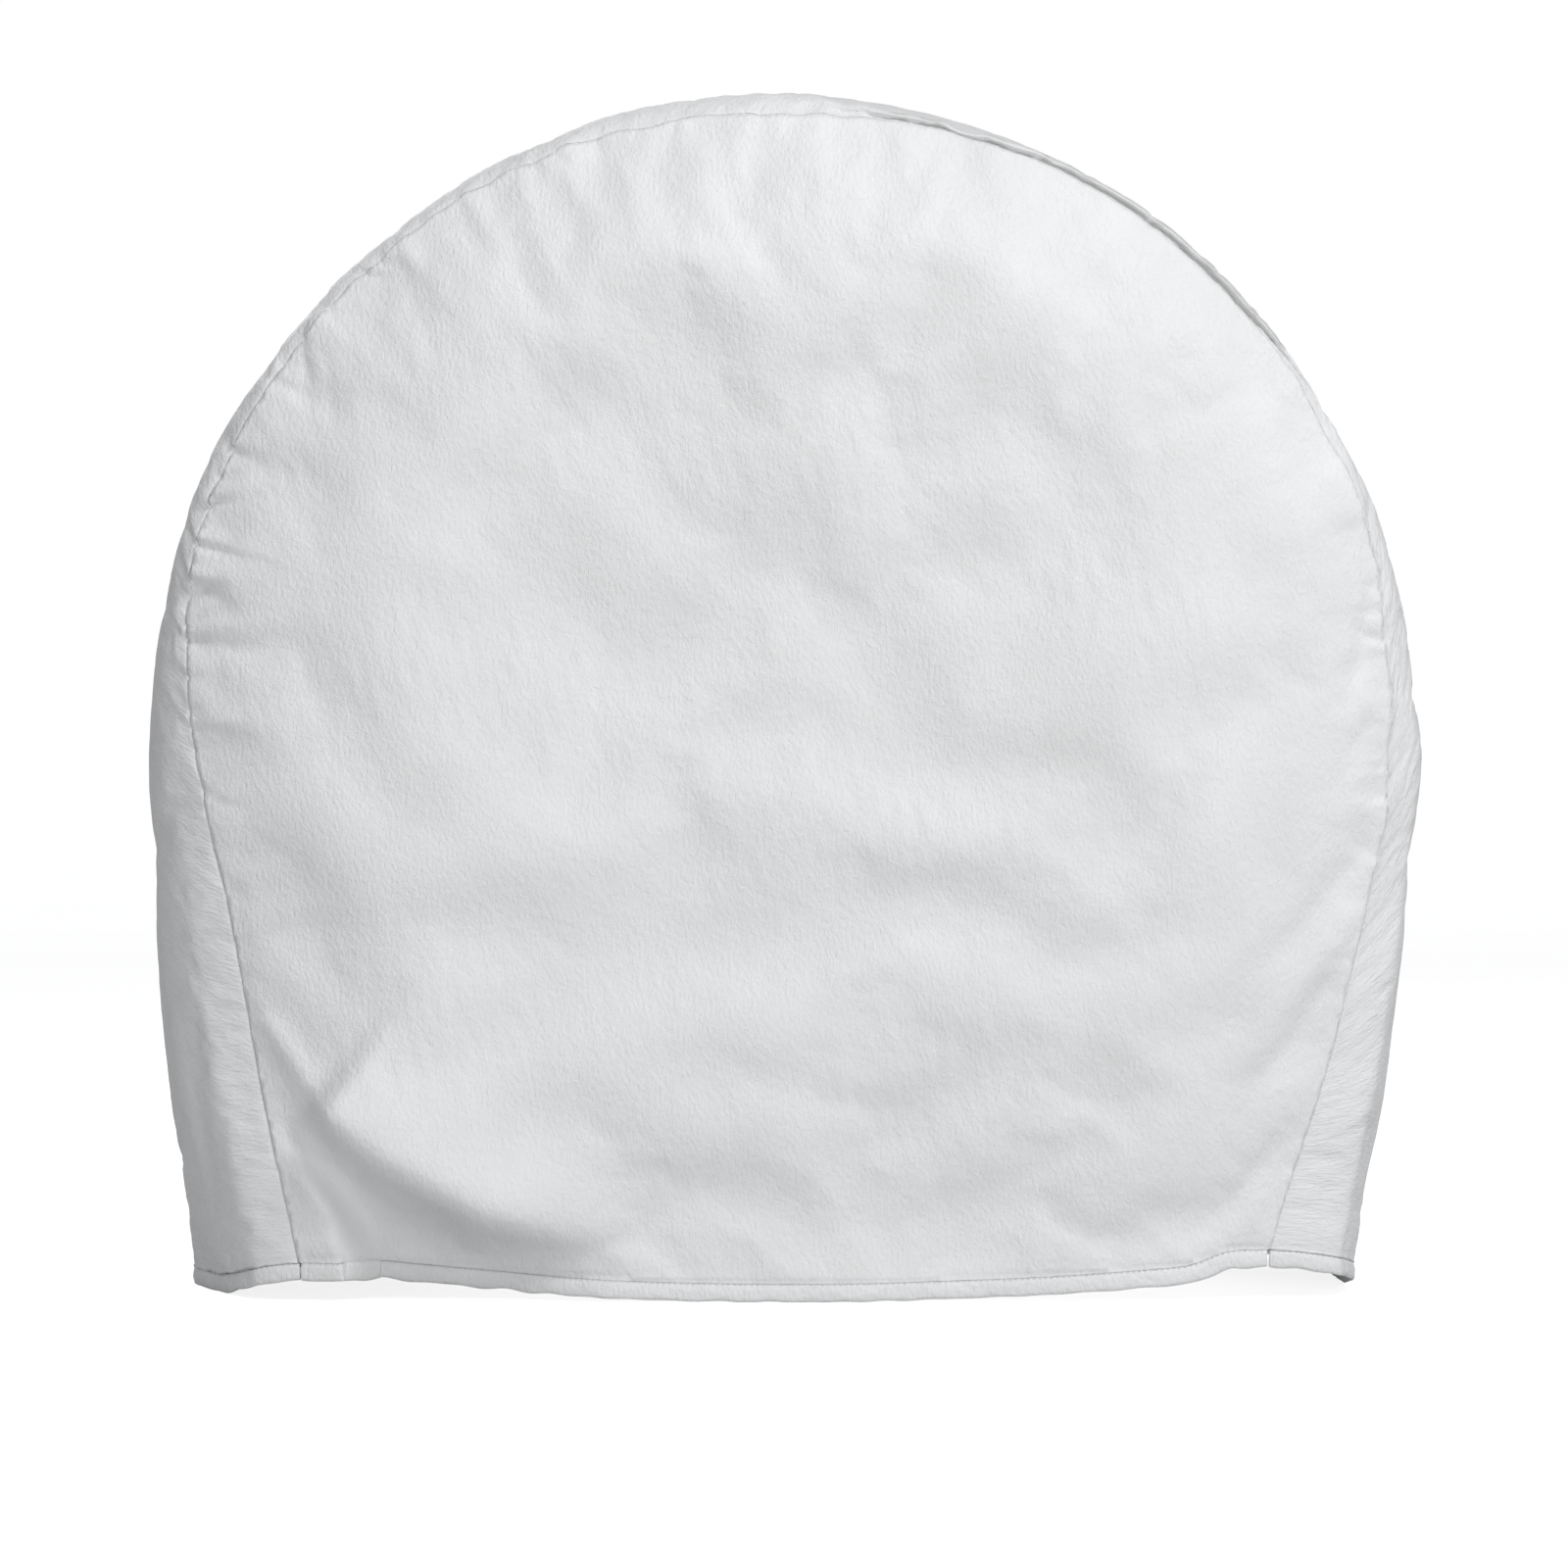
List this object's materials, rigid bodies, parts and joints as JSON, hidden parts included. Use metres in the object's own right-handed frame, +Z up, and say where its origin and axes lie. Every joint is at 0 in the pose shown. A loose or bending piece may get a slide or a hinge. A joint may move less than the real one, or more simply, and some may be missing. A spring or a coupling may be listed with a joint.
{
  "type": "wheel cover",
  "caption": "Slip-on vinyl cover for an RV or caravan wheel: arch-shaped front panel, tread band, stitched hem and elastic rear opening with flaps that fold back.",
  "frame": {"origin": "under the middle of the cover, on the plane that its hems stand on", "axes": "+X to the right of someone facing the front panel, +Y backwards to the rear opening, +Z up"},
  "size_m": [0.7618, 0.2672, 0.725],
  "materials": {
    "vinyl": "white vinyl-coated cloth with a fine leather grain and a soft sheen",
    "felt": "brushed off-white polyester felt",
    "binding": "woven white polyester tape",
    "elastic": "knitted white elastic"
  },
  "bodies": {
    "shell": {"front_panel": "vinyl", "tread_band": "vinyl", "front_hem": "vinyl", "left_band_hem": "vinyl", "right_band_hem": "vinyl", "rear_panel_left": "vinyl", "rear_casing_left": "vinyl", "rear_panel_right": "vinyl", "rear_casing_right": "vinyl", "front_lining": "felt", "band_lining": "felt", "rear_lining_left": "felt", "rear_lining_right": "felt", "front_seam_binding": "binding", "rear_seam_binding": "binding", "rear_centre_seam_tape": "binding", "rear_elastic_left": "elastic", "rear_elastic_right": "elastic"},
    "left_flap": {"left_flap_panel": "vinyl", "left_flap_lining": "felt", "left_flap_casing": "vinyl", "left_flap_elastic": "elastic", "left_flap_hem": "vinyl"},
    "right_flap": {"right_flap_panel": "vinyl", "right_flap_lining": "felt", "right_flap_casing": "vinyl", "right_flap_elastic": "elastic", "right_flap_hem": "vinyl"}
  },
  "joints": [
    {"name": "left_flap_fold", "type": "hinge", "parent": "shell", "child": "left_flap", "pos_m": [-0.351, 0.13105, 0.142], "axis": [0, 0, 1], "range_deg": [0, 100], "stiffness_Nm_per_rad": 0.05},
    {"name": "right_flap_fold", "type": "hinge", "parent": "shell", "child": "right_flap", "pos_m": [0.351, 0.13105, 0.142], "axis": [0, 0, -1], "range_deg": [0, 100], "stiffness_Nm_per_rad": 0.05}
  ]
}
